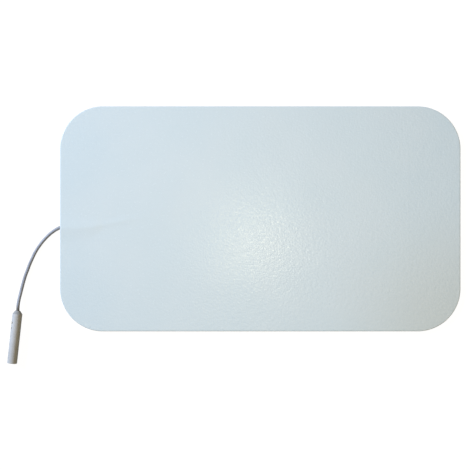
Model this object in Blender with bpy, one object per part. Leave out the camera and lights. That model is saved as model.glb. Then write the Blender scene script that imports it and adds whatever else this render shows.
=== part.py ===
"""Large stick-on electrode pad with a pigtail lead, in metres, +Z up.

The pad lies gel face down. Its layers, from the bottom, are the hydrogel, the conductive
film and the foam backing. The lead is stripped inside the pad: its jacket runs in from the
left edge over the film, and its bare strands fan out between film and foam. The jacket is
pressed into the soft gel, where it bends the film into a trough, and it lifts the foam in a
low ridge that fades with the strands. Outside the pad the lead drops to the table and ends
in a moulded sleeve that holds a 2 mm pin socket.

The origin is the centre of the pad's gel face, and the lead leaves on the -X side.
"""

import math
from functools import cache

import bmesh
import bpy
from mathutils import Vector

# The pad's outline and its layers
PAD_LENGTH = 0.1780
PAD_WIDTH = 0.1000
CORNER_RADIUS = 0.0190
CORNER_STEPS = 12
GEL_THICKNESS = 0.0009
FILM_THICKNESS = 0.0001
FOAM_THICKNESS = 0.0010
BOND_GAP = 0.00005
GEL_SETBACK = 0.0003
GEL_BULGE = 0.00012
FILM_SETBACK = 0.0025
POCKET_CLEARANCE = 0.0003
FOAM_EDGE_RADIUS = 0.0005
FOAM_EDGE_STEPS = 4

# The lead, and its route in plan from the cut end of its jacket to the back of the sleeve
LEAD_DIAMETER = 0.00145
LEAD_SPACING = 2 * LEAD_DIAMETER
LEAD_LIFT = 0.00001
SETTLE_LENGTH = 0.0090
RISE_LENGTH = 0.0085
LEVEL_LENGTH = 0.0015
LEAD_PLAN = [
    (-0.0732, -0.00272),
    (-0.0762, -0.00318),
    (-0.0792, -0.00342),
    (-0.0822, -0.00355),
    (-0.0850, -0.00362),
    (-0.0873, -0.00370),
    (-0.0890, -0.00390),
    (-0.0912, -0.00499),
    (-0.0939, -0.00696),
    (-0.0964, -0.00947),
    (-0.0985, -0.01215),
    (-0.1002, -0.01484),
    (-0.1015, -0.01751),
    (-0.1027, -0.02019),
    (-0.1037, -0.02286),
    (-0.1047, -0.02554),
    (-0.1055, -0.02821),
    (-0.1062, -0.03088),
    (-0.1068, -0.03354),
    (-0.1073, -0.03619),
    (-0.1076, -0.03870),
]

# How far the lead sinks into the gel, and the trough that it presses into film and gel
LEAD_SINK = 0.00060
TROUGH_EXTRA = 0.00003
TROUGH_HALF_WIDTH = 0.0018
TROUGH_END_LENGTH = 0.0040
TROUGH_STEPS = 16

# The bare strands: a bundle of one and six in the jacket, pressed flat into a row on the
# film, which spreads a little towards its tips
STRAND_DIAMETER = 0.00016
STRANDS_ROUND_THE_MIDDLE = 6
BUNDLE_RADIUS = 0.00027
JACKET_TO_STRANDS = 0.0003
ROW_HALF_WIDTH = 0.00078
FAN_TIP_X = -0.0505
FAN_TIP_Y = 0.0018
FAN_HALF_WIDTH = 0.0012
FAN_STEPS = 24
OUTER_STRAND_SHORTFALL = 0.0012
SINK_LENGTH = 0.0024

# The foam's ridge: a low tent over the jacket, widest at the pad's free edge, that drops
# past the jacket's cut end to a faint line over the strands
SWELL_STEPS = 20
SWELL_SINK = 0.00005
CREST_ROUNDING = 0.12
TENT_CURVE = 1.5
RIDGE_HEIGHT = 0.00036
EDGE_HALF_WIDTH = 0.0072
JACKET_END_HALF_WIDTH = 0.0042
STRAND_RIDGE_HEIGHT = 0.00016
STRAND_RIDGE_HALF_WIDTH = 0.0026
STEP_DOWN_LEAD_IN = 0.0002
STEP_DOWN_LENGTH = 0.0036
RIDGE_END_X = -0.0475
RIDGE_FADE_LENGTH = 0.0160

# The channel under the ridge, tented over the jacket, then low and flat over the strands
CHANNEL_HALF_WIDTH = 0.0021
CHANNEL_CUT_BELOW = 0.0002
MOUTH_FLARE = 1.15
MOUTH_LENGTH = 0.0040
LEAD_HEADROOM = 0.00012
STRAND_HEADROOM = 0.00015
FAN_CLEARANCE = 0.0010
FAN_FLAT_SHARE = 0.8
ROOF_DELAY = 0.0001
ROOF_DROP_LENGTH = 0.0024

# The moulded sleeve on the lead's end, from its tip at the back to its mouth at the front
SLEEVE_TIP = (-0.1077, -0.0408)
SLEEVE_HEADING = math.radians(263.8)
SLEEVE_LENGTH = 0.0235
SLEEVE_RADIUS = 0.00215
SLEEVE_FACETS = 32
TIP_RADIUS = 0.00108
SHOULDER_START = 0.00066
SHOULDER_RADIUS = 0.0007
NOSE_RADIUS = 0.00035
LEAD_BORE_RADIUS = 0.00087
LEAD_BORE_LENGTH = 0.0030
BARREL_BORE_RADIUS = 0.00130
BARREL_BORE_LENGTH = 0.0058
CONTACT_BORE_RADIUS = 0.00150
MOUTH_RADIUS = 0.00115
MOUTH_CHAMFER = 0.0002
LIP_LENGTH = 0.0007

# Two oblong holes in the sleeve's side, where pins held the contact in the mould, each with
# its place along the sleeve and its half width
VENTS = ((0.0055, 0.00030), (0.0079, 0.00020))
VENT_STRETCH = 1.6
VENT_DEPTH = 0.0010
VENT_FACETS = 12
VENT_ANGLE = math.radians(54)

# The metal contact inside the sleeve
PIN_RADIUS = 0.0010
CONTACT_WALL = 0.00038
CONTACT_FACETS = 24
CONTACT_NOSE = 0.0002
CONTACT_TAPER = 0.0015
BARREL_RADIUS = 0.00118
CRIMP_DEPTH = 0.00012
CRIMP_START = 0.0013
CRIMP_LENGTH = 0.0016
CRIMP_SLOPE = 0.0004
END_PLAY = 0.0003
BORE_FLOOR = 0.0012
DRILL_POINT = 0.0005
SLOT_WIDTH = 0.0004
SLOT_LENGTH = 0.0070

FILM_BOTTOM = GEL_THICKNESS + BOND_GAP
FILM_TOP = FILM_BOTTOM + FILM_THICKNESS
FOAM_BOTTOM = FILM_TOP + BOND_GAP
FOAM_TOP = FOAM_BOTTOM + FOAM_THICKNESS
RIDGE_BASE = FOAM_BOTTOM + FOAM_THICKNESS / 10
LEAD_RADIUS = LEAD_DIAMETER / 2
BURIED_HEIGHT = FOAM_BOTTOM - LEAD_SINK + LEAD_RADIUS
TABLE_HEIGHT = LEAD_RADIUS + LEAD_LIFT
SLEEVE_HEIGHT = SLEEVE_RADIUS + LEAD_LIFT
EDGE_X = -PAD_LENGTH / 2
JACKET_END_X = LEAD_PLAN[0][0]
JACKET_END_Y = LEAD_PLAN[0][1]
BARREL_END = LEAD_BORE_LENGTH + BARREL_BORE_LENGTH
CONTACT_FRONT = SLEEVE_LENGTH - LIP_LENGTH - END_PLAY
MERGE_DISTANCE = 1e-6
SMOOTH_ANGLE = math.radians(35)
CURVE_STEPS = 8


def clear_scene():
    for item in list(bpy.data.objects):
        bpy.data.objects.remove(item)


def plain_material(name, color, roughness, metallic=0.0):
    made = bpy.data.materials.new(name)
    made.use_nodes = True
    shader = made.node_tree.nodes["Principled BSDF"]
    shader.inputs["Base Color"].default_value = (*color, 1.0)
    shader.inputs["Roughness"].default_value = roughness
    shader.inputs["Metallic"].default_value = metallic
    return made


def add_object(name, data, material, parent=None):
    made = bpy.data.objects.new(name, data)
    bpy.context.scene.collection.objects.link(made)
    if material is not None:
        data.materials.append(material)
    made.parent = parent
    return made


def mesh_from(name, bm, smooth_angle=None):
    bmesh.ops.recalc_face_normals(bm, faces=bm.faces)
    mesh = bpy.data.meshes.new(name)
    bm.to_mesh(mesh)
    bm.free()
    if smooth_angle is not None:
        mesh.shade_smooth()
        mesh.set_sharp_from_angle(angle=smooth_angle)
    return mesh


def ease(share):
    """0 to 1 with level ends, held at 0 and 1 outside."""
    share = min(1.0, max(0.0, share))
    return share * share * (3.0 - 2.0 * share)


def blend(first, second, share):
    return first + (second - first) * share


def stations(start, end, count):
    return [blend(start, end, step / count) for step in range(count + 1)]


def rounded_outline(setback, height):
    """The pad's outline moved in by setback, as a ring of points at that height."""
    radius = CORNER_RADIUS - setback
    reach_x = PAD_LENGTH / 2 - CORNER_RADIUS
    reach_y = PAD_WIDTH / 2 - CORNER_RADIUS
    centres = [(reach_x, reach_y), (-reach_x, reach_y), (-reach_x, -reach_y), (reach_x, -reach_y)]
    ring = []
    for corner, (centre_x, centre_y) in enumerate(centres):
        for step in range(CORNER_STEPS + 1):
            angle = math.radians(90) * (corner + step / CORNER_STEPS)
            x = centre_x + radius * math.cos(angle)
            y = centre_y + radius * math.sin(angle)
            ring.append((x, y, height))
    return ring


def lofted(name, rings, smooth_angle=None):
    """A closed solid through rings of equal length, capped at the first and the last."""
    bm = bmesh.new()
    loops = [[bm.verts.new(point) for point in ring] for ring in rings]
    count = len(rings[0])
    for lower, upper in zip(loops, loops[1:]):
        for index in range(count):
            following = (index + 1) % count
            bm.faces.new((lower[index], lower[following], upper[following], upper[index]))
    bm.faces.new(list(reversed(loops[0])))
    bm.faces.new(loops[-1])
    return mesh_from(name, bm, smooth_angle)


def turned(name, profile, facets, closed):
    """A profile of (along, radius) points turned about X. A closed one leaves a bore."""
    bm = bmesh.new()
    points = [bm.verts.new((along, 0.0, radius)) for along, radius in profile]
    edges = [bm.edges.new(pair) for pair in zip(points, points[1:])]
    if closed:
        edges.append(bm.edges.new((points[-1], points[0])))
    bmesh.ops.spin(
        bm,
        geom=points + edges,
        cent=(0.0, 0.0, 0.0),
        axis=(1.0, 0.0, 0.0),
        angle=math.radians(360),
        steps=facets,
        use_merge=True,
    )
    bmesh.ops.remove_doubles(bm, verts=bm.verts, dist=MERGE_DISTANCE)
    return mesh_from(name, bm, SMOOTH_ANGLE)


def arc(centre_along, centre_radius, size, start_degrees, end_degrees, steps=3):
    """Profile points on an arc, its angles counted from the turning axis."""
    points = []
    for step in range(steps + 1):
        angle = math.radians(blend(start_degrees, end_degrees, step / steps))
        points.append((centre_along + size * math.cos(angle), centre_radius + size * math.sin(angle)))
    return points


def smooth_curve(points, steps):
    """A Catmull-Rom curve through the points, with that many steps between each two."""
    known = [Vector(point) for point in points]
    first = known[0] * 2 - known[1]
    last = known[-1] * 2 - known[-2]
    known = [first, *known, last]
    curve = []
    for index in range(1, len(known) - 2):
        before, here, there, after = known[index - 1 : index + 3]
        for step in range(steps):
            t = step / steps
            bend = 2 * before - 5 * here + 4 * there - after
            twist = 3 * here - before - 3 * there + after
            curve.append(here + ((there - before) * t + bend * t**2 + twist * t**3) / 2)
    curve.append(known[-2])
    return curve


def travelled(points):
    """The length along the points up to each of them."""
    lengths = [0.0]
    for here, there in zip(points, points[1:]):
        lengths.append(lengths[-1] + (there - here).length)
    return lengths


def evenly_spaced(points, spacing):
    """Points on the same line, at most that far apart, both ends kept."""
    lengths = travelled(points)
    count = math.ceil(lengths[-1] / spacing)
    spaced = []
    index = 0
    for step in range(count + 1):
        target = lengths[-1] * step / count
        while index < len(points) - 2 and lengths[index + 1] < target:
            index += 1
        span = lengths[index + 1] - lengths[index]
        spaced.append(points[index].lerp(points[index + 1], (target - lengths[index]) / span))
    return spaced


def sleeve_point(along):
    """A point on the sleeve's axis, in plan, at that distance from its tip."""
    x = SLEEVE_TIP[0] + along * math.cos(SLEEVE_HEADING)
    y = SLEEVE_TIP[1] + along * math.sin(SLEEVE_HEADING)
    return (x, y)


@cache
def lead_route():
    """The lead's centre line: level in the pad, down to the table, up into the sleeve."""
    plan = [*LEAD_PLAN, SLEEVE_TIP, sleeve_point(LEAD_BORE_LENGTH)]
    line = smooth_curve([(x, y, 0.0) for x, y in plan], CURVE_STEPS)
    lengths = travelled(line)
    leaves = next(length for point, length in zip(line, lengths) if point.x < EDGE_X)
    level_from = lengths[-1] - LEAD_BORE_LENGTH - LEVEL_LENGTH
    for point, length in zip(line, lengths):
        settled = ease((length - leaves) / SETTLE_LENGTH)
        risen = ease((length - level_from + RISE_LENGTH) / RISE_LENGTH)
        point.z = blend(blend(BURIED_HEIGHT, TABLE_HEIGHT, settled), SLEEVE_HEIGHT, risen)
    return line


def tube(name, points, diameter, material, parent):
    """A round wire along the points, with its ends closed."""
    data = bpy.data.curves.new(name, "CURVE")
    data.dimensions = "3D"
    data.bevel_depth = diameter / 2
    data.bevel_resolution = 2
    data.use_fill_caps = True
    spline = data.splines.new("POLY")
    spline.points.add(len(points) - 1)
    for target, point in zip(spline.points, points):
        target.co = (*point, 1.0)
    return add_object(name, data, material, parent)


def crest_y(x):
    """Where the lead, and past its jacket the middle of the fan, lies at that x."""
    if x > JACKET_END_X:
        along = (x - JACKET_END_X) / (FAN_TIP_X - JACKET_END_X)
        return blend(JACKET_END_Y, FAN_TIP_Y, along)
    line = lead_route()
    here, there = next(pair for pair in zip(line, line[1:]) if pair[1].x <= x)
    return blend(here.y, there.y, (x - here.x) / (there.x - here.x))


def spread_share(x):
    """0 at the jacket's cut end, 1 where the strands are fully spread."""
    return ease((x - JACKET_END_X) / (FAN_TIP_X - JACKET_END_X))


def edge_drop(x):
    """How far the foam's rounded edge is below its face, at that x."""
    inside = min(max(x - EDGE_X, 0.0), FOAM_EDGE_RADIUS)
    return FOAM_EDGE_RADIUS - math.sqrt(FOAM_EDGE_RADIUS**2 - (FOAM_EDGE_RADIUS - inside) ** 2)


def spaced_across():
    """Shares from -1 to 1, closest together in the middle."""
    shares = stations(-1.0, 1.0, SWELL_STEPS)
    return [math.copysign(abs(share) ** TENT_CURVE, share) for share in shares]


def swelling(x, half, base, foot, heights):
    """A section across the pad, on a plain base, its points closest together at the crest."""
    section = [(x, crest_y(x) + half, base), (x, crest_y(x) - half, base)]
    for across in spaced_across():
        section.append((x, crest_y(x) + half * across, foot + heights(abs(across))))
    return section


def tent(across):
    """1 at the rounded crest, then straight slopes that meet the face level, at 0."""
    fallen = math.hypot(across, CREST_ROUNDING) - CREST_ROUNDING
    whole = math.hypot(1.0, CREST_ROUNDING) - CREST_ROUNDING
    return (1.0 - fallen / whole) ** TENT_CURVE


def channel_section(x):
    """The foam's underside, tented over the lead, and low and flat over the strands."""
    lowered = ease((x - JACKET_END_X - ROOF_DELAY) / ROOF_DROP_LENGTH)
    over_jacket = LEAD_DIAMETER - LEAD_SINK + LEAD_HEADROOM
    height = blend(over_jacket, STRAND_DIAMETER + STRAND_HEADROOM, lowered)
    half = blend(CHANNEL_HALF_WIDTH, FAN_HALF_WIDTH + FAN_CLEARANCE, spread_share(x))
    half *= blend(MOUTH_FLARE, 1.0, ease((x - EDGE_X) / MOUTH_LENGTH))
    flat_share = FAN_FLAT_SHARE * spread_share(x)

    def roof(across):
        fall = ease((across - flat_share) / (1.0 - flat_share))
        return (height + SWELL_SINK) * (1.0 - fall)

    return swelling(x, half, FOAM_BOTTOM - CHANNEL_CUT_BELOW, FOAM_BOTTOM - SWELL_SINK, roof)


def ridge_section(x):
    """The foam's face over the lead, lower over the strands, fading past their tips."""
    stepped_down = ease((x - JACKET_END_X + STEP_DOWN_LEAD_IN) / STEP_DOWN_LENGTH)
    faded = ease((x - RIDGE_END_X + RIDGE_FADE_LENGTH) / RIDGE_FADE_LENGTH)
    height = blend(RIDGE_HEIGHT, STRAND_RIDGE_HEIGHT, stepped_down) * (1.0 - faded)
    narrowed = min(1.0, (x - EDGE_X) / (JACKET_END_X - EDGE_X))
    half = blend(EDGE_HALF_WIDTH, JACKET_END_HALF_WIDTH, narrowed)
    half = blend(half, STRAND_RIDGE_HALF_WIDTH, stepped_down)
    foot = FOAM_TOP - SWELL_SINK - edge_drop(x)
    return swelling(x, half, RIDGE_BASE, foot, lambda across: height * tent(across))


def hidden_cutter(name, data, parent):
    """A solid that only shapes another one."""
    made = add_object(name, data, None, parent)
    made.hide_render = True
    made.display_type = "WIRE"
    return made


def boolean(target, operation, cutter):
    modifier = target.modifiers.new(f"{operation.lower()}_{cutter.name}", "BOOLEAN")
    modifier.operation = operation
    modifier.object = cutter


def trough_depth(x):
    """How deep the lead presses film and gel down, level under the jacket, then rising out."""
    risen = ease((x - JACKET_END_X) / TROUGH_END_LENGTH)
    return (LEAD_SINK + TROUGH_EXTRA) * (1.0 - risen)


def dip(x, y):
    """How far the film's face lies below its flat part, at that place."""
    across = abs(y - crest_y(min(x, FAN_TIP_X))) / TROUGH_HALF_WIDTH
    return trough_depth(x) * (1.0 - ease(across))


def trough_stations():
    return stations(EDGE_X, JACKET_END_X + TROUGH_END_LENGTH, TROUGH_STEPS)


def gel_groove_section(x):
    """The room in the gel under the trough, open at the top."""
    base = FOAM_BOTTOM + LEAD_DIAMETER
    foot = GEL_THICKNESS + SWELL_SINK

    def floor(across):
        return -(trough_depth(x) + SWELL_SINK) * (1.0 - ease(across))

    return swelling(x, TROUGH_HALF_WIDTH, base, foot, floor)


def build_hydrogel(parent):
    """The gel with its pocket for the film and the groove that the lead presses into it."""
    rim_top = FOAM_BOTTOM - BOND_GAP
    pocket = FILM_SETBACK - POCKET_CLEARANCE
    rings = [
        rounded_outline(GEL_SETBACK, 0.0),
        rounded_outline(GEL_SETBACK - GEL_BULGE, rim_top / 2),
        rounded_outline(GEL_SETBACK, rim_top),
        rounded_outline(pocket, rim_top),
        rounded_outline(pocket, GEL_THICKNESS),
    ]
    clear_gel = plain_material("clear_gel", (0.62, 0.66, 0.62), 0.08)
    gel = add_object("hydrogel", lofted("hydrogel", rings), clear_gel, parent)
    marks = [EDGE_X - FOAM_EDGE_RADIUS, *trough_stations()]
    groove_rings = [gel_groove_section(x) for x in marks]
    groove = hidden_cutter("gel_groove", lofted("gel_groove", groove_rings), parent)
    boolean(gel, "DIFFERENCE", groove)
    return gel


def film_section(x, half):
    """Across the film: its flat sides and, near the lead, the trough."""
    crest = crest_y(min(x, FAN_TIP_X))
    marks = [-half, *(crest + TROUGH_HALF_WIDTH * across for across in spaced_across()), half]
    over = [(x, y, FILM_TOP - dip(x, y)) for y in marks]
    under = [(x, y, FILM_BOTTOM - dip(x, y)) for y in reversed(marks)]
    return over + under


def film_half_width(x):
    """Half the film's width at that x, less where its corners are round."""
    radius = CORNER_RADIUS - FILM_SETBACK
    past = max(0.0, abs(x) - PAD_LENGTH / 2 + CORNER_RADIUS)
    return PAD_WIDTH / 2 - CORNER_RADIUS + math.sqrt(max(0.0, radius**2 - past**2))


def build_film(parent):
    """The thin sheet, bent down where the lead presses on it."""
    straight = PAD_LENGTH / 2 - CORNER_RADIUS
    radius = CORNER_RADIUS - FILM_SETBACK
    turns = stations(0, math.radians(90), CORNER_STEPS)
    round_part = [straight + radius * math.sin(turn) for turn in turns]
    in_trough = [x for x in trough_stations() if -straight < x]
    marks = [-x for x in reversed(round_part)] + in_trough + round_part
    rings = [film_section(x, film_half_width(x)) for x in marks]
    carbon = plain_material("carbon_film", (0.02, 0.02, 0.022), 0.45)
    return add_object("conductive_film", lofted("conductive_film", rings), carbon, parent)


def build_foam(parent):
    """The die-cut sheet with its top edge rounded, the ridge added and the channel cut."""
    rings = [rounded_outline(0.0, FOAM_BOTTOM)]
    for step in range(FOAM_EDGE_STEPS + 1):
        angle = math.radians(90) * step / FOAM_EDGE_STEPS
        setback = FOAM_EDGE_RADIUS * (1 - math.cos(angle))
        height = FOAM_TOP - FOAM_EDGE_RADIUS * (1 - math.sin(angle))
        rings.append(rounded_outline(setback, height))
    white_foam = plain_material("white_foam", (0.66, 0.74, 0.78), 0.5)
    foam = add_object("backing_foam", lofted("backing_foam", rings), white_foam, parent)

    jacket_gone_x = JACKET_END_X + ROOF_DELAY + ROOF_DROP_LENGTH
    over_edge = [EDGE_X + FOAM_EDGE_RADIUS * share for share in (0.0, 0.15, 0.4, 1.0)]
    over_jacket = stations(EDGE_X + 3 * FOAM_EDGE_RADIUS, jacket_gone_x, 16)
    over_fan = stations(jacket_gone_x, RIDGE_END_X, 14)[1:]
    ridge_rings = [ridge_section(x) for x in over_edge + over_jacket + over_fan]
    ridge = hidden_cutter("foam_ridge", lofted("foam_ridge", ridge_rings), parent)
    boolean(foam, "UNION", ridge)

    in_mouth = stations(EDGE_X - FOAM_EDGE_RADIUS, EDGE_X + MOUTH_LENGTH, 6)
    round_jacket = stations(EDGE_X + MOUTH_LENGTH, jacket_gone_x, 14)[1:]
    over_strands = stations(jacket_gone_x, FAN_TIP_X + JACKET_TO_STRANDS, 9)[1:]
    channel_rings = [channel_section(x) for x in in_mouth + round_jacket + over_strands]
    channel = hidden_cutter("lead_channel", lofted("lead_channel", channel_rings), parent)
    boolean(foam, "DIFFERENCE", channel)
    return foam


def bundle_places():
    """Where each strand sits across the jacket, from one side of the bundle to the other."""
    places = [(0.0, 0.0)]
    for index in range(STRANDS_ROUND_THE_MIDDLE):
        angle = math.radians(30 + 360 * index / STRANDS_ROUND_THE_MIDDLE)
        places.append((BUNDLE_RADIUS * math.cos(angle), BUNDLE_RADIUS * math.sin(angle)))
    return sorted(places, key=lambda place: (round(place[0], 6), place[1]))


def strand_route(place, side):
    """From its place in the bundle down into the row on the film, and along the fan."""
    start_x = JACKET_END_X + JACKET_TO_STRANDS
    tip_x = FAN_TIP_X - abs(side) * OUTER_STRAND_SHORTFALL
    route = []
    for x in stations(start_x, tip_x, FAN_STEPS):
        sunk = ease((x - JACKET_END_X) / SINK_LENGTH)
        row_half = blend(ROW_HALF_WIDTH, FAN_HALF_WIDTH, spread_share(x))
        y = crest_y(x) + blend(place[0], row_half * side, sunk)
        on_film = FOAM_BOTTOM + STRAND_DIAMETER / 2 - dip(x, y)
        z = blend(BURIED_HEIGHT + place[1], on_film, sunk)
        route.append(Vector((x, y, z)))
    return route


def build_strands(parent):
    tinned_copper = plain_material("tinned_copper", (0.78, 0.77, 0.74), 0.3, 1.0)
    places = bundle_places()
    middle = (len(places) - 1) / 2
    for index, place in enumerate(places):
        route = strand_route(place, (index - middle) / middle)
        tube(f"strand_{index + 1}", route, STRAND_DIAMETER, tinned_copper, parent)


def build_lead(parent):
    grey_jacket = plain_material("grey_jacket", (0.27, 0.28, 0.31), 0.42)
    route = evenly_spaced(lead_route(), LEAD_SPACING)
    return tube("lead_wire", route, LEAD_DIAMETER, grey_jacket, parent)


def sleeve_profile():
    """The section of the moulded sleeve, along its outside and back through its bores."""
    front = SLEEVE_LENGTH
    lip = front - LIP_LENGTH
    shoulder_centre = (SHOULDER_START + SHOULDER_RADIUS, SLEEVE_RADIUS - SHOULDER_RADIUS)
    nose_centre = (front - NOSE_RADIUS, SLEEVE_RADIUS - NOSE_RADIUS)
    outside = [
        (0.0, TIP_RADIUS),
        *arc(*shoulder_centre, SHOULDER_RADIUS, 135, 90),
        *arc(*nose_centre, NOSE_RADIUS, 90, 0),
    ]
    bores = [
        (front, MOUTH_RADIUS + MOUTH_CHAMFER),
        (front - MOUTH_CHAMFER, MOUTH_RADIUS),
        (lip, MOUTH_RADIUS),
        (lip, CONTACT_BORE_RADIUS),
        (BARREL_END, CONTACT_BORE_RADIUS),
        (BARREL_END, BARREL_BORE_RADIUS),
        (LEAD_BORE_LENGTH, BARREL_BORE_RADIUS),
        (LEAD_BORE_LENGTH, LEAD_BORE_RADIUS),
        (0.0, LEAD_BORE_RADIUS),
    ]
    return outside + bores


def vent_cutter(name, along, radius, parent):
    """A short oblong pin through the sleeve's flank, square to its surface."""
    bm = bmesh.new()
    bmesh.ops.create_cone(
        bm, cap_ends=True, segments=VENT_FACETS, radius1=radius, radius2=radius, depth=2 * VENT_DEPTH
    )
    bmesh.ops.scale(bm, vec=(VENT_STRETCH, 1.0, 1.0), verts=bm.verts)
    cutter = hidden_cutter(name, mesh_from(name, bm), parent)
    across = -SLEEVE_RADIUS * math.sin(VENT_ANGLE)
    up = SLEEVE_RADIUS * math.cos(VENT_ANGLE)
    cutter.location = (along, across, up)
    cutter.rotation_euler = (VENT_ANGLE, 0.0, 0.0)
    return cutter


def build_sleeve(parent):
    light_grey = plain_material("light_grey_moulding", (0.42, 0.44, 0.46), 0.45)
    mesh = turned("connector_sleeve", sleeve_profile(), SLEEVE_FACETS, closed=True)
    sleeve = add_object("connector_sleeve", mesh, light_grey, parent)
    for index, (along, radius) in enumerate(VENTS):
        boolean(sleeve, "DIFFERENCE", vent_cutter(f"vent_{index + 1}", along, radius, parent))
    return sleeve


def contact_profile():
    """A crimped barrel at the back, a collar, and a tube with a blind bore for the pin."""
    back = LEAD_BORE_LENGTH + END_PLAY
    collar = BARREL_END + END_PLAY
    outer = PIN_RADIUS + CONTACT_WALL
    crimped = BARREL_RADIUS - CRIMP_DEPTH
    crimp_end = back + CRIMP_START + CRIMP_LENGTH
    floor = collar + BORE_FLOOR
    return [
        (back, 0.0),
        (back, BARREL_RADIUS - CONTACT_NOSE),
        (back + CONTACT_NOSE, BARREL_RADIUS),
        (back + CRIMP_START - CRIMP_SLOPE, BARREL_RADIUS),
        (back + CRIMP_START, crimped),
        (crimp_end, crimped),
        (crimp_end + CRIMP_SLOPE, BARREL_RADIUS),
        (collar, BARREL_RADIUS),
        (collar, outer),
        (CONTACT_FRONT - CONTACT_TAPER, outer),
        (CONTACT_FRONT, outer - CONTACT_NOSE),
        (CONTACT_FRONT - CONTACT_NOSE, PIN_RADIUS),
        (floor + DRILL_POINT, PIN_RADIUS),
        (floor, 0.0),
    ]


def slot_section(along):
    """The cut between the contact's two spring arms, as a tall narrow rectangle."""
    corners = ((-1, -1), (1, -1), (1, 1), (-1, 1))
    return [(along, side * SLOT_WIDTH / 2, up * 2 * PIN_RADIUS) for side, up in corners]


def build_contact(parent):
    nickel = plain_material("nickel_plate", (0.72, 0.70, 0.66), 0.22, 1.0)
    mesh = turned("pin_socket", contact_profile(), CONTACT_FACETS, closed=False)
    contact = add_object("pin_socket", mesh, nickel, parent)
    rings = [slot_section(CONTACT_FRONT - SLOT_LENGTH), slot_section(SLEEVE_LENGTH)]
    slot = hidden_cutter("contact_slot", lofted("contact_slot", rings), parent)
    boolean(contact, "DIFFERENCE", slot)
    return contact


def build_pad():
    clear_scene()
    pad = add_object("electrode_pad", None, None)
    connector = add_object("connector_axis", None, None, pad)
    connector.location = (*SLEEVE_TIP, SLEEVE_HEIGHT)
    connector.rotation_euler = (0.0, 0.0, SLEEVE_HEADING)
    build_hydrogel(pad)
    build_film(pad)
    build_foam(pad)
    build_lead(pad)
    build_strands(pad)
    build_sleeve(connector)
    build_contact(connector)


build_pad()
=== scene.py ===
"""The finish of a large stick-on electrode pad with a pigtail lead, in metres, +Z up.

The camera, floor and lamps come first, then the finishes, then the pieces: the lead with
its sleeve and contact, the foam, the film, the gel and the bare strands. The pad lies gel
face down with its centre over the origin, and the lead leaves on the -X side.
"""

import math
from functools import cache

import bmesh
import bpy
from mathutils import Matrix, Vector, noise


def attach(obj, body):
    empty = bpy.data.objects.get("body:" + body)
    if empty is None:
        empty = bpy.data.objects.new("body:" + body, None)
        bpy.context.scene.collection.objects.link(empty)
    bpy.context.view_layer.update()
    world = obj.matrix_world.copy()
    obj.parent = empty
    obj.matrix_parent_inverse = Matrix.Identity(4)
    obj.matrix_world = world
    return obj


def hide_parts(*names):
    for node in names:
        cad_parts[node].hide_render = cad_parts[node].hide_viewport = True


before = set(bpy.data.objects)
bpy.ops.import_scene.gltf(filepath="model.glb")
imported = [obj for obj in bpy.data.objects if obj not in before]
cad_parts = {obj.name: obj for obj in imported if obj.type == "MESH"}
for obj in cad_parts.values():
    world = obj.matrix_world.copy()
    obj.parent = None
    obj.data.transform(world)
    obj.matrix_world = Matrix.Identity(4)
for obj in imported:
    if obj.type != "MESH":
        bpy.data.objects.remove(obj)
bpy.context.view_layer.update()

# The view, straight down
PHOTO_WIDTH = 470
PIXEL = 0.0004443
PAD_CENTRE_IN_PHOTO = (259.75, 218.3)
VIEW_CENTRE_IN_PHOTO = (234.5, 234.5)
CAMERA_HEIGHT = 0.42
SENSOR_WIDTH = 36.0

# The light: a small lamp beside the camera, a soft ceiling lamp offset from that one, a cool
# window on the left and a dim room. The floor glows, so it shows almost plain white.
FLASH_OFFSET = (0.0160, -0.0049)
FLASH_SIZE = 0.012
FLASH_POWER = 0.10
FLASH_COLOR = (1.0, 0.92, 0.62)
CEILING_OFFSET = (0.012, 0.012)
CEILING_HEIGHT = 0.45
CEILING_SIZE = 0.35
CEILING_POWER = 0.53
CEILING_COLOR = (1.0, 0.80, 0.54)
WINDOW_PLACE = (-0.800, 0.420, 0.50)
WINDOW_SIZE = 0.30
WINDOW_POWER = 15.3
WINDOW_COLOR = (0.62, 0.75, 1.0)
ROOM_COLOR = (1.0, 0.93, 0.56)
ROOM_STRENGTH = 0.12
FLOOR_DROP = 0.00005
FLOOR_SIZE = 6.0
FLOOR_COLOR = (0.11, 0.105, 0.10)
FLOOR_GLOW = 0.965

# The pad's outline and its layers
PAD_LENGTH = 0.1780
PAD_WIDTH = 0.1000
CORNER_RADIUS = 0.0190
GEL_THICKNESS = 0.0009
FILM_THICKNESS = 0.0001
FOAM_THICKNESS = 0.0010
BOND_GAP = 0.00005
GEL_SETBACK = 0.0003
GEL_BULGE = 0.00012
GEL_EDGE_RADIUS = 0.00025
FILM_SETBACK = 0.0025
POCKET_CLEARANCE = 0.0003
FOAM_EDGE_RADIUS = 0.0003
FOAM_EDGE_STEPS = 6
FOAM_SPACING = 0.0005

# The lead, and its route in plan from the cut end of its jacket to the back of the sleeve
LEAD_DIAMETER = 0.00145
LEAD_LIFT = 0.00001
SETTLE_LENGTH = 0.0090
RISE_LENGTH = 0.0085
LEVEL_LENGTH = 0.0015
LEAD_PLAN = [
    (-0.0732, -0.00272),
    (-0.0762, -0.00318),
    (-0.0792, -0.00342),
    (-0.0822, -0.00355),
    (-0.0850, -0.00362),
    (-0.0873, -0.00370),
    (-0.0890, -0.00390),
    (-0.0912, -0.00499),
    (-0.0939, -0.00696),
    (-0.0964, -0.00947),
    (-0.0985, -0.01215),
    (-0.1002, -0.01484),
    (-0.1015, -0.01751),
    (-0.1027, -0.02019),
    (-0.1037, -0.02286),
    (-0.1047, -0.02554),
    (-0.1055, -0.02821),
    (-0.1062, -0.03088),
    (-0.1068, -0.03354),
    (-0.1073, -0.03619),
    (-0.1076, -0.03870),
]

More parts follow.
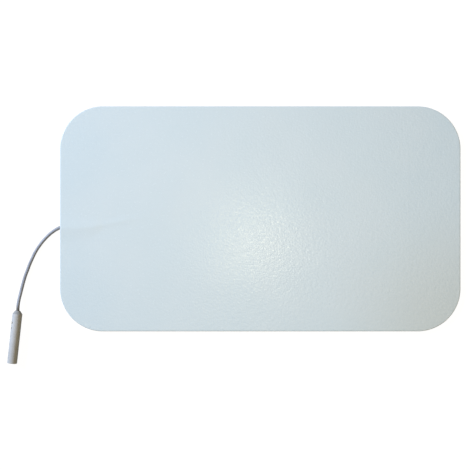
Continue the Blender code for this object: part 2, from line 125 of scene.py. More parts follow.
# How far the lead sinks into the gel, and the groove that it presses there
LEAD_SINK = 0.00060
TROUGH_EXTRA = 0.00003
TROUGH_HALF_WIDTH = 0.0018
TROUGH_END_LENGTH = 0.0040
TROUGH_STEPS = 32

# The foam's ridge over the lead and its strands
FAN_TIP_X = -0.0505
FAN_TIP_Y = 0.0018
FAN_HALF_WIDTH = 0.0012
STRAND_DIAMETER = 0.00016
JACKET_TO_STRANDS = 0.0003
SWELL_STEPS = 32
SWELL_SINK = 0.00005
CREST_ROUNDING = 0.07
TENT_CURVE = 1.5
EDGE_RIDGE_HEIGHT = 0.00024
EDGE_HALF_WIDTH = 0.0072
JACKET_END_RIDGE_HEIGHT = 0.00018
JACKET_END_HALF_WIDTH = 0.0046
STRAND_RIDGE_HEIGHT = 0.00008
STRAND_RIDGE_HALF_WIDTH = 0.0026
STEP_DOWN_LEAD_IN = 0.0002
STEP_DOWN_LENGTH = 0.0036
RIDGE_END_X = -0.0475
RIDGE_FADE_LENGTH = 0.0160

# How far the crest lies from the lead's middle, here towards -Y
CREST_SHIFT = -0.0006

# The channel under the ridge, tented over the jacket, then low and flat over the strands
CHANNEL_HALF_WIDTH = 0.0021
CHANNEL_CUT_BELOW = 0.0002
CHANNEL_SPACING = 0.0008
MOUTH_FLARE = 1.15
MOUTH_LENGTH = 0.0040
LEAD_HEADROOM = 0.00012
STRAND_HEADROOM = 0.00015
FAN_CLEARANCE = 0.0010
FAN_FLAT_SHARE = 0.8
ROOF_DELAY = 0.0001
ROOF_DROP_LENGTH = 0.0024

# The pebbled face of the foam
PEBBLE_SIZE = 0.0016
PEBBLE_HEIGHT = 0.000010
WAVE_SIZE = 0.014
WAVE_HEIGHT = 0.00003

# The moulded sleeve on the lead's end, from its tip at the back to its mouth at the front
SLEEVE_TIP = (-0.1077, -0.0408)
SLEEVE_HEADING = math.radians(263.8)
SLEEVE_LENGTH = 0.0235
SLEEVE_RADIUS = 0.00215
SLEEVE_FACETS = 96
TIP_RADIUS = 0.00108
SHOULDER_START = 0.00100
SHOULDER_RADIUS = 0.0007
SHOULDER_DEGREES = 126
NOSE_RADIUS = 0.00016
LEAD_BORE_RADIUS = 0.00087
LEAD_BORE_LENGTH = 0.0030
BARREL_BORE_RADIUS = 0.00130
BARREL_BORE_LENGTH = 0.0058
CONTACT_BORE_RADIUS = 0.00150
MOUTH_RADIUS = 0.00115
MOUTH_CHAMFER = 0.0002
LIP_LENGTH = 0.0007
VENTS = ((0.0055, 0.00040), (0.0079, 0.00026))
VENT_STRETCH = 1.8
VENT_DEPTH = 0.0010
VENT_FACETS = 24
VENT_ANGLE = math.radians(54)

# Heights and places that follow from these
FILM_BOTTOM = GEL_THICKNESS + BOND_GAP
FILM_TOP = FILM_BOTTOM + FILM_THICKNESS
FOAM_BOTTOM = FILM_TOP + BOND_GAP
FOAM_TOP = FOAM_BOTTOM + FOAM_THICKNESS
LEAD_RADIUS = LEAD_DIAMETER / 2
BURIED_HEIGHT = FOAM_BOTTOM - LEAD_SINK + LEAD_RADIUS
TABLE_HEIGHT = LEAD_RADIUS + LEAD_LIFT
SLEEVE_HEIGHT = SLEEVE_RADIUS + LEAD_LIFT
EDGE_X = -PAD_LENGTH / 2
JACKET_END_X = LEAD_PLAN[0][0]
JACKET_END_Y = LEAD_PLAN[0][1]
BARREL_END = LEAD_BORE_LENGTH + BARREL_BORE_LENGTH

# Colours. A pair holds the two ends of a mottled or grainy tone.
FOAM_COLORS = ((0.655, 0.748, 0.768), (0.675, 0.758, 0.773))
# Painted shade: the foam's rounded edge and sides are darkened to this.
FOAM_RIM_SHADE_COLOR = (0.46, 0.485, 0.51)
# Painted shade: the foam turns darker and warmer towards its +X, -Y corner.
FOAM_CORNER_SHADE_COLOR = (0.635, 0.677, 0.641)
GEL_COLORS = ((0.80, 0.84, 0.80), (0.86, 0.88, 0.84))
FILM_COLORS = ((0.014, 0.014, 0.015), (0.026, 0.026, 0.028))
JACKET_COLORS = ((0.255, 0.265, 0.295), (0.285, 0.295, 0.325))
# Painted shade: the jacket darkens to this just before it enters the sleeve.
ENTRY_SHADE_COLOR = (0.11, 0.105, 0.095)
MOULDING_COLORS = ((0.455, 0.450, 0.435), (0.495, 0.490, 0.475))
CONE_COLOR = (0.30, 0.295, 0.28)
NICKEL_COLORS = ((0.66, 0.64, 0.60), (0.76, 0.74, 0.70))
TIN_COLORS = ((0.72, 0.71, 0.68), (0.82, 0.81, 0.78))

# Where tones pass into one another: in metres for the painted shade at the pad's +X, -Y corner, the
# painted shade where the lead enters the sleeve and the cone, by how far the surface faces up for the
# foam's skin and the painted shade on its rim, and by noise for the mottle
# Painted shade: the corner where it is darkest, and how far it reaches.
SHADED_CORNER_POINT = (PAD_LENGTH / 2, -PAD_WIDTH / 2, FOAM_TOP)
CORNER_SHADE_REACH = 0.066
# Painted shade: how far from the sleeve's tip the jacket darkens.
ENTRY_SHADE_REACH = (0.0006, 0.0030)
CONE_EDGES = (0.0012, 0.0018)
FOAM_SKIN_EDGES = (0.2, 0.7)
# Painted shade on the foam's rim fades in across these.
FOAM_RIM_SHADE_EDGES = (0.1, 0.9)
MOTTLE_EDGES = (0.3, 0.7)

# The foam's roughness where it is cut, how much smoother its skin is, and how dull its pores
FOAM_CUT_ROUGHNESS = 0.455
FOAM_SKIN_SHINE = 0.31
FOAM_PORE_DULLNESS = 0.19
PLASTIC_IOR = 1.45

# How finely things are made
MERGE_DISTANCE = 1e-6
SMOOTH_ANGLE = math.radians(35)
CURVE_STEPS = 8
ARC_STEPS = 8
OUTLINE_CORNER_STEPS = 48
GEL_EDGE_STEPS = 6
LEAD_BEVEL_STEPS = 6


def add_object(name, data):
    made = bpy.data.objects.new(name, data)
    bpy.context.scene.collection.objects.link(made)
    return made


def ease(share):
    """0 to 1 with level ends, held at 0 and 1 outside."""
    share = min(1.0, max(0.0, share))
    return share * share * (3.0 - 2.0 * share)


def blend(first, second, share):
    return first + (second - first) * share


def stations(start, end, count):
    return [blend(start, end, step / count) for step in range(count + 1)]


# Camera, lamps and floor


def set_camera():
    """Straight down on the pad, with the whole lead in view."""
    data = bpy.data.cameras.new("camera")
    data.sensor_width = SENSOR_WIDTH
    data.lens = SENSOR_WIDTH * (CAMERA_HEIGHT - FOAM_TOP) / (PHOTO_WIDTH * PIXEL)
    camera = add_object("camera", data)
    camera.location = (
        (VIEW_CENTRE_IN_PHOTO[0] - PAD_CENTRE_IN_PHOTO[0]) * PIXEL,
        (PAD_CENTRE_IN_PHOTO[1] - VIEW_CENTRE_IN_PHOTO[1]) * PIXEL,
        CAMERA_HEIGHT,
    )
    bpy.context.scene.camera = camera
    return camera


def add_lamp(name, place, aim, size, power, color):
    """A round soft lamp that faces the aim."""
    data = bpy.data.lights.new(name, "AREA")
    data.shape = "DISK"
    data.size = size
    data.energy = power
    data.color = color
    lamp = add_object(name, data)
    lamp.location = place
    lamp.rotation_euler = (Vector(aim) - Vector(place)).to_track_quat("-Z", "Y").to_euler()


def add_lamp_above(name, x, y, height, size, power, color):
    add_lamp(name, (x, y, height), (x, y, 0.0), size, power, color)


def light_scene(camera):
    x = camera.location.x + FLASH_OFFSET[0]
    y = camera.location.y + FLASH_OFFSET[1]
    add_lamp_above("flash", x, y, CAMERA_HEIGHT, FLASH_SIZE, FLASH_POWER, FLASH_COLOR)
    x += CEILING_OFFSET[0]
    y += CEILING_OFFSET[1]
    add_lamp_above("ceiling", x, y, CEILING_HEIGHT, CEILING_SIZE, CEILING_POWER, CEILING_COLOR)
    add_lamp("window", WINDOW_PLACE, (0.0, 0.0, 0.0), WINDOW_SIZE, WINDOW_POWER, WINDOW_COLOR)


# Finishes


def pick(sockets, label):
    """The socket of that number, or the one in use that has that name."""
    if isinstance(label, int):
        return sockets[label]
    return next(socket for socket in sockets if socket.name == label and socket.enabled)


class Signal:
    """One output of a node. Arithmetic on it adds Math nodes."""

    def __init__(self, nodes, socket):
        self.nodes = nodes
        self.socket = socket

    def math(self, operation, *values):
        return self.nodes.add("Math", {"operation": operation}, dict(enumerate(values)))

    def __add__(self, other):
        return self.math("ADD", self, other)

    def __radd__(self, other):
        return self.math("ADD", other, self)

    def __sub__(self, other):
        return self.math("SUBTRACT", self, other)

    def __rsub__(self, other):
        return self.math("SUBTRACT", other, self)

    def __mul__(self, other):
        return self.math("MULTIPLY", self, other)

    def __rmul__(self, other):
        return self.math("MULTIPLY", other, self)

    def between(self, low, high):
        """0 below low, 1 above high, eased between them."""
        settings = {"interpolation_type": "SMOOTHSTEP"}
        return self.nodes.add("MapRange", settings, {"Value": self, "From Min": low, "From Max": high})

    def ranging(self, low, high):
        """Low where this is 0, high where it is 1."""
        return low + self * (high - low)


class Nodes:
    """The node tree of a material or of the world."""

    def __init__(self, owner):
        owner.use_nodes = True
        self.tree = owner.node_tree
        self.tree.nodes.clear()

    def add(self, kind, settings=None, values=None, output=0):
        """One node. Its settings come first, then its sockets, and one output comes back."""
        made = self.tree.nodes.new(f"ShaderNode{kind}")
        for setting, value in (settings or {}).items():
            setattr(made, setting, value)
        for label, value in (values or {}).items():
            if isinstance(value, Signal):
                self.tree.links.new(value.socket, pick(made.inputs, label))
            else:
                pick(made.inputs, label).default_value = value
        return Signal(self, pick(made.outputs, output)) if made.outputs else made

    def place(self):
        return self.add("TexCoord", output="Object")

    def distance(self, point):
        """How far each place of the surface is from that point of the object."""
        ends = {0: self.place(), 1: point}
        return self.add("VectorMath", {"operation": "DISTANCE"}, ends, output="Value")

    def part_of(self, vector, axis):
        return self.add("SeparateXYZ", None, {"Vector": vector}, output=axis)

    def grain(self, size, detail=2.0, stretch=(1.0, 1.0, 1.0)):
        """Noise about 0.5, with lumps of that size in metres."""
        place = self.add("VectorMath", {"operation": "MULTIPLY"}, {0: self.place(), 1: stretch})
        return self.add("TexNoise", None, {"Vector": place, "Scale": 1.0 / size, "Detail": detail})

    def mix(self, share, first, second):
        """From the first to the second, each a plain colour or another mix."""
        first, second = (end if isinstance(end, Signal) else (*end, 1.0) for end in (first, second))
        values = {"Factor": share, "A": first, "B": second}
        return self.add("Mix", {"data_type": "RGBA"}, values, output="Result")

    def mottle(self, size, colors):
        """The two colours in soft patches of that size."""
        return self.mix(self.grain(size).between(*MOTTLE_EDGES), *colors)

    def bump(self, height, depth):
        """The normal of a surface raised by depth, in metres, where height is 1."""
        return self.add("Bump", None, {"Height": height, "Distance": depth, "Strength": 1.0})

    def shade(self, **values):
        """The whole surface, from the shader's own values."""
        named = {label.replace("_", " ").title(): value for label, value in values.items()}
        named["IOR"] = named.pop("Ior", PLASTIC_IOR)
        shader = self.add("BsdfPrincipled", None, named)
        self.add("OutputMaterial", None, {"Surface": shader})

    def shade_grained(self, color, grain, roughness, depth, **values):
        """A surface with one grain that sets its roughness, from low to high, and its bumps."""
        self.shade(
            base_color=color,
            roughness=grain.ranging(*roughness),
            normal=self.bump(grain, depth),
            **values,
        )


def new_finish(name):
    material = bpy.data.materials.new(name)
    return material, Nodes(material)


def white_foam():
    """Closed-cell foam: a fine pebbled skin with a satin shine, duller where it is cut, with painted
    shade on its edge and sides and towards one corner.
    """
    material, nodes = new_finish("white_foam")
    pebbles = nodes.grain(size=0.0009, detail=1.0)
    pores = nodes.grain(size=0.0010, detail=1.0)
    upward = nodes.part_of(nodes.add("NewGeometry", output="Normal"), "Z")
    plain = nodes.mottle(0.030, FOAM_COLORS)
    # Painted shade, darker and warmer towards the +X, -Y corner.
    face = nodes.mix(nodes.distance(SHADED_CORNER_POINT).between(0.0, CORNER_SHADE_REACH), FOAM_CORNER_SHADE_COLOR, plain)
    skin = upward.between(*FOAM_SKIN_EDGES)
    nodes.shade(
        # Painted shade on the edge and sides, where the surface faces sideways.
        base_color=nodes.mix(upward.between(*FOAM_RIM_SHADE_EDGES), FOAM_RIM_SHADE_COLOR, face),
        roughness=FOAM_CUT_ROUGHNESS - skin * FOAM_SKIN_SHINE + pores * FOAM_PORE_DULLNESS,
        normal=nodes.bump(pebbles, depth=0.00005),
    )
    return material


def clear_gel():
    """Water-clear gel with a slightly uneven wet face."""
    material, nodes = new_finish("clear_gel")
    dimples = nodes.grain(size=0.004, detail=1.0)
    color = nodes.mottle(0.02, GEL_COLORS)
    nodes.shade_grained(
        color, dimples, roughness=(0.06, 0.12), depth=0.00008, ior=1.38, transmission_weight=0.97
    )
    return material


def carbon_film():
    material, nodes = new_finish("carbon_film")
    grain = nodes.grain(size=0.0004)
    color = nodes.mix(grain, *FILM_COLORS)
    nodes.shade_grained(color, grain, roughness=(0.38, 0.58), depth=0.000015)
    return material


def grey_jacket():
    """Soft satin PVC, mottled, with painted shade darkening it where it enters the sleeve."""
    material, nodes = new_finish("grey_jacket")
    grain = nodes.grain(size=0.00025)
    from_sleeve = nodes.distance((*SLEEVE_TIP, SLEEVE_HEIGHT))
    # Painted shade where the jacket enters the sleeve.
    color = nodes.mix(from_sleeve.between(*ENTRY_SHADE_REACH), ENTRY_SHADE_COLOR, nodes.mottle(0.0025, JACKET_COLORS))
    nodes.shade_grained(color, grain, roughness=(0.36, 0.50), depth=0.000012)
    return material


def light_grey_moulding():
    """Satin moulded plastic with the mould's fine spark texture, and a greyer cone."""
    material, nodes = new_finish("light_grey_moulding")
    grain = nodes.grain(size=0.0003)
    along = nodes.part_of(nodes.place(), "X")
    color = nodes.mix(along.between(*CONE_EDGES), CONE_COLOR, nodes.mottle(0.004, MOULDING_COLORS))
    nodes.shade_grained(color, grain, roughness=(0.52, 0.68), depth=0.000020)
    return material


def plated(name, colors, roughness):
    """Bright metal with fine turning marks."""
    material, nodes = new_finish(name)
    marks = nodes.grain(size=0.0002, stretch=(1.0, 4.0, 1.0))
    color = nodes.mix(marks, *colors)
    nodes.shade_grained(color, marks, roughness, depth=0.000006, metallic=1.0)
    return material


def seen_directly(nodes):
    """1 for what the camera sees, itself or by way of a glossy or clear surface."""
    seen = nodes.add("LightPath", output="Is Camera Ray")
    for kind in ("Is Glossy Ray", "Is Transmission Ray"):
        seen = seen.math("MAXIMUM", seen, nodes.add("LightPath", output=kind))
    return seen


def pale_floor():
    """Shows almost plain white, but throws little light back up."""
    material, nodes = new_finish("pale_floor")
    paper = nodes.add("BsdfDiffuse", None, {"Color": (*FLOOR_COLOR, 1.0)})
    glow = nodes.add("Emission", None, {"Strength": FLOOR_GLOW})
    both = nodes.add("AddShader", None, {0: paper, 1: glow})
    shown = nodes.add("MixShader", None, {0: seen_directly(nodes), 1: paper, 2: both})
    nodes.add("OutputMaterial", None, {"Surface": shown})
    return material


def set_world():
    world = bpy.data.worlds.new("room")
    bpy.context.scene.world = world
    nodes = Nodes(world)
    room = nodes.add("Background", None, {"Color": (*ROOM_COLOR, 1.0), "Strength": ROOM_STRENGTH})
    white = nodes.add("Background", None, {"Color": (1.0, 1.0, 1.0, 1.0), "Strength": 1.0})
    shown = nodes.add("MixShader", None, {0: seen_directly(nodes), 1: room, 2: white})
    nodes.add("OutputWorld", None, {"Surface": shown})


def build_floor():
    bm = bmesh.new()
    bmesh.ops.create_grid(bm, x_segments=1, y_segments=1, size=FLOOR_SIZE / 2)
    mesh = bpy.data.meshes.new("floor")
    bm.to_mesh(mesh)
    bm.free()
    floor = add_object("floor", mesh)
    floor.location.z = -FLOOR_DROP
    mesh.materials.append(pale_floor())


# Shapes


def mesh_from(name, bm, material, smooth_angle=None):
    bmesh.ops.recalc_face_normals(bm, faces=bm.faces)
    mesh = bpy.data.meshes.new(name)
    bm.to_mesh(mesh)
    bm.free()
    mesh.materials.append(material)
    if smooth_angle is not None:
        mesh.shade_smooth()
        mesh.set_sharp_from_angle(angle=smooth_angle)
    return mesh


def join_rings(bm, lower, upper):
    """A band of faces between two rings of equal length."""
    for index in range(len(lower)):
        following = (index + 1) % len(lower)
        bm.faces.new((lower[index], lower[following], upper[following], upper[index]))


def lofted(name, rings, material, smooth_angle=None):
    """A closed solid through rings of equal length, capped at the first and the last."""
    bm = bmesh.new()
    loops = [[bm.verts.new(point) for point in ring] for ring in rings]
    for lower, upper in zip(loops, loops[1:]):
        join_rings(bm, lower, upper)
    bm.faces.new(list(reversed(loops[0])))
    bm.faces.new(loops[-1])
    return mesh_from(name, bm, material, smooth_angle)


def turned(name, profile, facets, material):
    """A closed profile of (along, radius) points turned about X, which leaves a bore."""
    bm = bmesh.new()
    points = [bm.verts.new((along, 0.0, radius)) for along, radius in profile]
    edges = [bm.edges.new(pair) for pair in zip(points, points[1:])]
    edges.append(bm.edges.new((points[-1], points[0])))
    bmesh.ops.spin(
        bm,
        geom=points + edges,
        cent=(0.0, 0.0, 0.0),
        axis=(1.0, 0.0, 0.0),
        angle=math.radians(360),
        steps=facets,
        use_merge=True,
    )
    bmesh.ops.remove_doubles(bm, verts=bm.verts, dist=MERGE_DISTANCE)
    return mesh_from(name, bm, material, SMOOTH_ANGLE)


def arc(centre_along, centre_radius, size, start_degrees, end_degrees):
    """Profile points on an arc, its angles counted from the turning axis."""
    points = []
    for degrees in stations(start_degrees, end_degrees, ARC_STEPS):
        angle = math.radians(degrees)
        points.append((centre_along + size * math.cos(angle), centre_radius + size * math.sin(angle)))
    return points


def rounded_outline(setback, height):
    """The pad's outline moved in by setback, as a ring of points at that height."""
    radius = CORNER_RADIUS - setback
    reach_x = PAD_LENGTH / 2 - CORNER_RADIUS
    reach_y = PAD_WIDTH / 2 - CORNER_RADIUS
    centres = [(reach_x, reach_y), (-reach_x, reach_y), (-reach_x, -reach_y), (reach_x, -reach_y)]
    ring = []
    for corner, (centre_x, centre_y) in enumerate(centres):
        for turn in stations(corner, corner + 1, OUTLINE_CORNER_STEPS):
            angle = math.radians(90) * turn
            x = centre_x + radius * math.cos(angle)
            y = centre_y + radius * math.sin(angle)
            ring.append((x, y, height))
    return ring


def cut(target, cutter_mesh, solver="EXACT"):
    """Takes the cutter out of the target for good."""
    cutter = add_object("cutter", cutter_mesh)
    cutter.matrix_world = target.matrix_world.copy()
    modifier = target.modifiers.new("cut", "BOOLEAN")
    modifier.operation = "DIFFERENCE"
    modifier.solver = solver
    modifier.object = cutter
    depsgraph = bpy.context.evaluated_depsgraph_get()
    result = bpy.data.meshes.new_from_object(target.evaluated_get(depsgraph))
    target.modifiers.clear()
    target.data = result
    bpy.data.objects.remove(cutter)


# The lead's route, as in the solids


def smooth_curve(points, steps):
    """A smooth curve through the points, with that many steps between each two."""
    known = [Vector(point) for point in points]
    first = known[0] * 2 - known[1]
    last = known[-1] * 2 - known[-2]
    known = [first, *known, last]
    curve = []
    for index in range(1, len(known) - 2):
        before, here, there, after = known[index - 1 : index + 3]
        for step in range(steps):
            t = step / steps
            bend = 2 * before - 5 * here + 4 * there - after
            twist = 3 * here - before - 3 * there + after
            curve.append(here + ((there - before) * t + bend * t**2 + twist * t**3) / 2)
    curve.append(known[-2])
    return curve


def travelled(points):
    """The length along the points up to each of them."""
    lengths = [0.0]
    for here, there in zip(points, points[1:]):
        lengths.append(lengths[-1] + (there - here).length)
    return lengths


def sleeve_point(along):
    """A point on the sleeve's axis, in plan, at that distance from its tip."""
    x = SLEEVE_TIP[0] + along * math.cos(SLEEVE_HEADING)
    y = SLEEVE_TIP[1] + along * math.sin(SLEEVE_HEADING)
    return (x, y)


@cache
def lead_route():
    """The lead's centre line: level in the pad, down to the table, up into the sleeve."""
    plan = [*LEAD_PLAN, SLEEVE_TIP, sleeve_point(LEAD_BORE_LENGTH)]
    line = smooth_curve([(x, y, 0.0) for x, y in plan], CURVE_STEPS)
    lengths = travelled(line)
    leaves = next(length for point, length in zip(line, lengths) if point.x < EDGE_X)
    level_from = lengths[-1] - LEAD_BORE_LENGTH - LEVEL_LENGTH
    for point, length in zip(line, lengths):
        settled = ease((length - leaves) / SETTLE_LENGTH)
        risen = ease((length - level_from + RISE_LENGTH) / RISE_LENGTH)
        point.z = blend(blend(BURIED_HEIGHT, TABLE_HEIGHT, settled), SLEEVE_HEIGHT, risen)
    return line


def crest_y(x):
    """Where the lead, and past its jacket the middle of the fan, lies at that x."""
    if x > JACKET_END_X:
        along = (x - JACKET_END_X) / (FAN_TIP_X - JACKET_END_X)
        return blend(JACKET_END_Y, FAN_TIP_Y, along)
    line = lead_route()
    here, there = next(pair for pair in zip(line, line[1:]) if pair[1].x <= x)
    return blend(here.y, there.y, (x - here.x) / (there.x - here.x))


def spread_share(x):
    """0 at the jacket's cut end, 1 where the strands are fully spread."""
    return ease((x - JACKET_END_X) / (FAN_TIP_X - JACKET_END_X))


# Pieces


def build_lead(material):
    """The jacket, one smooth tube from inside the pad into the sleeve."""
    data = bpy.data.curves.new("lead_jacket", "CURVE")
    data.dimensions = "3D"
    data.bevel_depth = LEAD_RADIUS
    data.bevel_resolution = LEAD_BEVEL_STEPS
    data.use_fill_caps = True
    route = lead_route()
    spline = data.splines.new("POLY")
    spline.points.add(len(route) - 1)
    for target, point in zip(spline.points, route):
        target.co = (*point, 1.0)
    spline.use_smooth = True
    data.materials.append(material)
    lead = add_object("lead_jacket", data)
    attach(lead, "root")
    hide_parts("lead_wire")
    return lead


def sleeve_profile():
    """The section of the moulded sleeve, along its outside and back through its bores."""
    front = SLEEVE_LENGTH
    lip = front - LIP_LENGTH
    shoulder_centre = (SHOULDER_START + SHOULDER_RADIUS, SLEEVE_RADIUS - SHOULDER_RADIUS)
    nose_centre = (front - NOSE_RADIUS, SLEEVE_RADIUS - NOSE_RADIUS)
    outside = [
        (0.0, TIP_RADIUS),
        *arc(*shoulder_centre, SHOULDER_RADIUS, SHOULDER_DEGREES, 90),
        *arc(*nose_centre, NOSE_RADIUS, 90, 0),
    ]
    bores = [
        (front, MOUTH_RADIUS + MOUTH_CHAMFER),
        (front - MOUTH_CHAMFER, MOUTH_RADIUS),
        (lip, MOUTH_RADIUS),
        (lip, CONTACT_BORE_RADIUS),
        (BARREL_END, CONTACT_BORE_RADIUS),
        (BARREL_END, BARREL_BORE_RADIUS),
        (LEAD_BORE_LENGTH, BARREL_BORE_RADIUS),
        (LEAD_BORE_LENGTH, LEAD_BORE_RADIUS),
        (0.0, LEAD_BORE_RADIUS),
    ]
    return outside + bores


def vent_cutter(along, radius, material):
    """A short oblong pin that cuts a hole through the sleeve's flank."""
    bm = bmesh.new()
    bmesh.ops.create_cone(
        bm, cap_ends=True, segments=VENT_FACETS, radius1=radius, radius2=radius, depth=2 * VENT_DEPTH
    )
    bmesh.ops.scale(bm, vec=(VENT_STRETCH, 1.0, 1.0), verts=bm.verts)
    mesh = mesh_from("vent", bm, material)
    turn = Matrix.Rotation(VENT_ANGLE, 4, "X")
    turn.translation = turn @ Vector((0.0, 0.0, SLEEVE_RADIUS)) + Vector((along, 0.0, 0.0))
    mesh.transform(turn)
    return mesh


def build_sleeve(material):
    mesh = turned("connector_moulding", sleeve_profile(), SLEEVE_FACETS, material)
    sleeve = add_object("connector_moulding", mesh)
    for along, radius in VENTS:
        cut(sleeve, vent_cutter(along, radius, material))
    sleeve.location = (*SLEEVE_TIP, SLEEVE_HEIGHT)
    sleeve.rotation_euler.z = SLEEVE_HEADING
    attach(sleeve, "root")
    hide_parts("connector_sleeve")
    return sleeve


def tent(across):
    """1 at the rounded crest, then straight slopes that meet the face level, at 0."""
    fallen = math.hypot(across, CREST_ROUNDING) - CREST_ROUNDING
    whole = math.hypot(1.0, CREST_ROUNDING) - CREST_ROUNDING
    return (1.0 - fallen / whole) ** TENT_CURVE


@cache
def ridge_at(x):
    """The ridge's height, half width and crest at that x."""
    stepped_down = ease((x - JACKET_END_X + STEP_DOWN_LEAD_IN) / STEP_DOWN_LENGTH)
    faded = ease((x - RIDGE_END_X + RIDGE_FADE_LENGTH) / RIDGE_FADE_LENGTH)
    inward = min(1.0, (x - EDGE_X) / (JACKET_END_X - EDGE_X))
    height = blend(EDGE_RIDGE_HEIGHT, JACKET_END_RIDGE_HEIGHT, inward)
    height = blend(height, STRAND_RIDGE_HEIGHT, stepped_down) * (1.0 - faded)
    half = blend(EDGE_HALF_WIDTH, JACKET_END_HALF_WIDTH, inward)
    half = blend(half, STRAND_RIDGE_HALF_WIDTH, stepped_down)
    return height, half, crest_y(x) + CREST_SHIFT


def lift(x, y):
    """How far the foam's face is raised over the lead and its strands."""
    if x > RIDGE_END_X:
        return 0.0
    height, half, crest = ridge_at(max(x, EDGE_X))
    across = abs(y - crest) / half
    return height * tent(across) if across < 1.0 else 0.0


def relief(x, y):
    """The pebbles and slow waves in the foam's face."""
    pebbles = noise.noise(Vector((x, y, 0.0)) / PEBBLE_SIZE)
    waves = noise.noise(Vector((x, y, 1.0)) / WAVE_SIZE)
    return PEBBLE_HEIGHT * pebbles + WAVE_HEIGHT * waves


def grid_marks(half, corner):
    """Places of the grid lines, with whole steps in the corner squares and between them."""
    in_corner = math.ceil(corner / FOAM_SPACING)
    between = math.ceil(2 * (half - corner) / FOAM_SPACING)
    left = stations(-half, corner - half, in_corner)
    middle = stations(corner - half, half - corner, between)
    right = stations(half - corner, half, in_corner)
    return left + middle[1:] + right[1:]


def rounded_place(x, y, half_x, half_y, corner):
    """A point of the plain grid, moved so that the grid's corner squares fill round corners."""
    across = max(0.0, abs(x) - half_x + corner) / corner
    along = max(0.0, abs(y) - half_y + corner) / corner
    in_x = corner * across * (1.0 - math.sqrt(1.0 - along**2 / 2))
    in_y = corner * along * (1.0 - math.sqrt(1.0 - across**2 / 2))
    return x - math.copysign(in_x, x), y - math.copysign(in_y, y)


def foam_blank(material):
    """The die-cut sheet with a pebbled face, a rounded edge and the ridge over the lead."""
    bm = bmesh.new()
    half_x = PAD_LENGTH / 2 - FOAM_EDGE_RADIUS
    half_y = PAD_WIDTH / 2 - FOAM_EDGE_RADIUS
    corner = CORNER_RADIUS - FOAM_EDGE_RADIUS
    rows = []
    for mark_y in grid_marks(half_y, corner):
        row = []
        for mark_x in grid_marks(half_x, corner):
            x, y = rounded_place(mark_x, mark_y, half_x, half_y, corner)
            row.append(bm.verts.new((x, y, FOAM_TOP + lift(x, y) + relief(x, y))))
        rows.append(row)
    for lower, upper in zip(rows, rows[1:]):
        for index in range(len(lower) - 1):
            bm.faces.new((lower[index], lower[index + 1], upper[index + 1], upper[index]))

    right_side = [row[-1] for row in rows[:-1]]
    left_side = [row[0] for row in rows[:0:-1]]
    rim = rows[0][:-1] + right_side + rows[-1][:0:-1] + left_side
    outward = [rim_direction(vert.co, corner) for vert in rim]
    drops = []
    for step in range(1, FOAM_EDGE_STEPS + 1):
        angle = math.radians(90) * step / FOAM_EDGE_STEPS
        drops.append((FOAM_EDGE_RADIUS * math.sin(angle), FOAM_EDGE_RADIUS * (1.0 - math.cos(angle))))
    above = rim
    for reach, drop in drops:
        ring = []
        for vert, out in zip(rim, outward):
            ring.append(bm.verts.new(vert.co + out * reach - Vector((0.0, 0.0, drop))))
        join_rings(bm, ring, above)
        above = ring
    foot = [bm.verts.new((vert.co.x, vert.co.y, FOAM_BOTTOM)) for vert in above]
    join_rings(bm, foot, above)
    bm.faces.new(foot)
    return mesh_from("foam_cover", bm, material, SMOOTH_ANGLE)


def rim_direction(point, corner):
    """Straight out of the pad's edge at that point."""
    centre_x = PAD_LENGTH / 2 - CORNER_RADIUS
    centre_y = PAD_WIDTH / 2 - CORNER_RADIUS
    from_x = max(0.0, abs(point.x) - centre_x)
    from_y = max(0.0, abs(point.y) - centre_y)
    return Vector((math.copysign(from_x, point.x), math.copysign(from_y, point.y), 0.0)).normalized()


def swelling(x, half, base, foot, heights):
    """A section across the pad, on a plain base, its points closest together at the crest."""
    section = [(x, crest_y(x) + half, base), (x, crest_y(x) - half, base)]
    for share in stations(-1.0, 1.0, SWELL_STEPS):
        across = math.copysign(abs(share) ** TENT_CURVE, share)
        section.append((x, crest_y(x) + half * across, foot + heights(abs(across))))
    return section


def channel_section(x):
    """The foam's underside, tented over the lead, and low and flat over the strands."""
    lowered = ease((x - JACKET_END_X - ROOF_DELAY) / ROOF_DROP_LENGTH)
    over_jacket = LEAD_DIAMETER - LEAD_SINK + LEAD_HEADROOM
    height = blend(over_jacket, STRAND_DIAMETER + STRAND_HEADROOM, lowered)
    half = blend(CHANNEL_HALF_WIDTH, FAN_HALF_WIDTH + FAN_CLEARANCE, spread_share(x))
    half *= blend(MOUTH_FLARE, 1.0, ease((x - EDGE_X) / MOUTH_LENGTH))
    flat_share = FAN_FLAT_SHARE * spread_share(x)

    def roof(across):
        fall = ease((across - flat_share) / (1.0 - flat_share))
        return (height + SWELL_SINK) * (1.0 - fall)

    return swelling(x, half, FOAM_BOTTOM - CHANNEL_CUT_BELOW, FOAM_BOTTOM - SWELL_SINK, roof)


def build_foam(material):
    foam = add_object("foam_cover", foam_blank(material))
    start = EDGE_X - FOAM_EDGE_RADIUS
    end = FAN_TIP_X + JACKET_TO_STRANDS
    marks = stations(start, end, math.ceil((end - start) / CHANNEL_SPACING))
    cut(foam, lofted("lead_channel", [channel_section(x) for x in marks], material), "MANIFOLD")
    foam.data.set_sharp_from_angle(angle=SMOOTH_ANGLE)
    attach(foam, "root")
    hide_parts("backing_foam")
    return foam


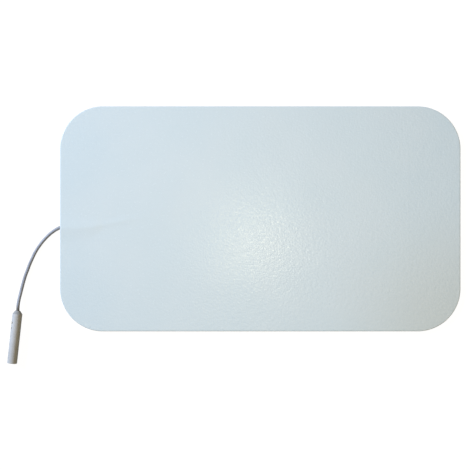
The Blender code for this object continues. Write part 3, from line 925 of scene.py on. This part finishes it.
def gel_groove_section(x):
    """The room in the gel under the lead, open at the top."""
    risen = ease((x - JACKET_END_X) / TROUGH_END_LENGTH)
    depth = (LEAD_SINK + TROUGH_EXTRA) * (1.0 - risen)
    base = FOAM_BOTTOM + LEAD_DIAMETER
    foot = GEL_THICKNESS + SWELL_SINK

    def floor(across):
        return -(depth + SWELL_SINK) * (1.0 - ease(across))

    return swelling(x, TROUGH_HALF_WIDTH, base, foot, floor)


def build_gel(material):
    """The gel, rounded at its wet edge, with the film's pocket and the lead's groove."""
    rim_top = FOAM_BOTTOM - BOND_GAP
    pocket = FILM_SETBACK - POCKET_CLEARANCE
    rings = []
    for degrees in stations(0, 90, GEL_EDGE_STEPS):
        angle = math.radians(degrees)
        setback = GEL_SETBACK - GEL_BULGE + GEL_EDGE_RADIUS * (1.0 - math.sin(angle))
        rings.append(rounded_outline(setback, GEL_EDGE_RADIUS * (1.0 - math.cos(angle))))
    rings.append(rounded_outline(GEL_SETBACK, rim_top))
    rings.append(rounded_outline(pocket, rim_top))
    rings.append(rounded_outline(pocket, GEL_THICKNESS))
    gel = add_object("gel_layer", lofted("gel_layer", rings, material, SMOOTH_ANGLE))
    groove_end = JACKET_END_X + TROUGH_END_LENGTH
    marks = [EDGE_X - FOAM_EDGE_RADIUS, *stations(EDGE_X, groove_end, TROUGH_STEPS)]
    cut(gel, lofted("gel_groove", [gel_groove_section(x) for x in marks], material))
    gel.data.set_sharp_from_angle(angle=SMOOTH_ANGLE)
    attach(gel, "root")
    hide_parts("hydrogel")
    return gel


def refinish(node, material):
    """A solid of the frame with a finer material."""
    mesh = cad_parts[node].data
    mesh.materials.clear()
    mesh.materials.append(material)


def build_pad():
    lead = build_lead(grey_jacket())
    sleeve = build_sleeve(light_grey_moulding())
    refinish("pin_socket", plated("nickel_plate", NICKEL_COLORS, roughness=(0.22, 0.34)))
    length = travelled(lead_route())[-1]
    build_foam(white_foam())
    build_gel(clear_gel())
    refinish("conductive_film", carbon_film())
    wire = plated("tinned_copper", TIN_COLORS, roughness=(0.25, 0.37))
    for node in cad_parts:
        if node.startswith("strand_"):
            refinish(node, wire)


bpy.context.scene.view_settings.view_transform = "Standard"
set_world()
light_scene(set_camera())
build_floor()
build_pad()
